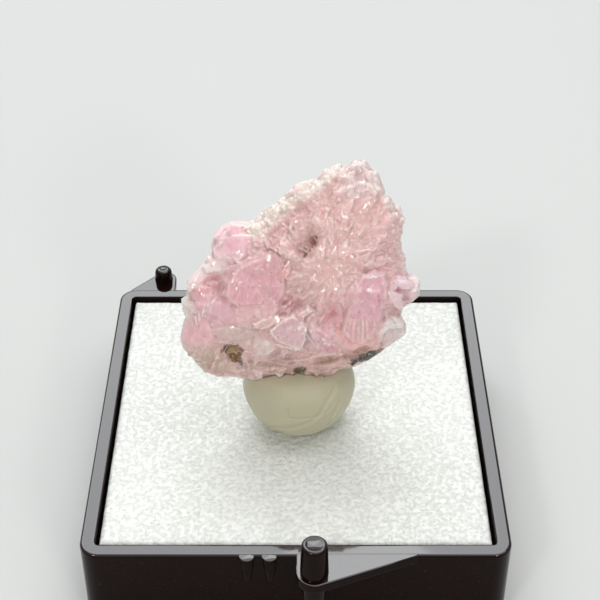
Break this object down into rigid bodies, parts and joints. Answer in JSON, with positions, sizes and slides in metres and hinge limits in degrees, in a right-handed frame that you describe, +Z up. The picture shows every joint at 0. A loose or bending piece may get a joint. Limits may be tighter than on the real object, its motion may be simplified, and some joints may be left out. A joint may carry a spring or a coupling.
{
  "type": "cobaltoan calcite specimen",
  "caption": "Pale pink cobaltoan calcite crystal group on matrix, held upright by mineral putty on white foam in the shallow black plastic base of a display box",
  "frame": {"origin": "middle of the underside of the box base, level with the surface that it stands on", "axes": "+Z up; the crystal face of the specimen and the front peg of the box look towards -Y; +X to the right as the face is seen"},
  "size_m": [0.0402, 0.0473, 0.0366],
  "materials": {
    "calcite": "gloss",
    "putty": "matte",
    "foam": "matte",
    "black_plastic": "gloss"
  },
  "bodies": {
    "root": {"calcite_specimen": "calcite", "putty_ball": "putty", "foam_pad": "foam", "box_base": "black_plastic"}
  },
  "joints": []
}
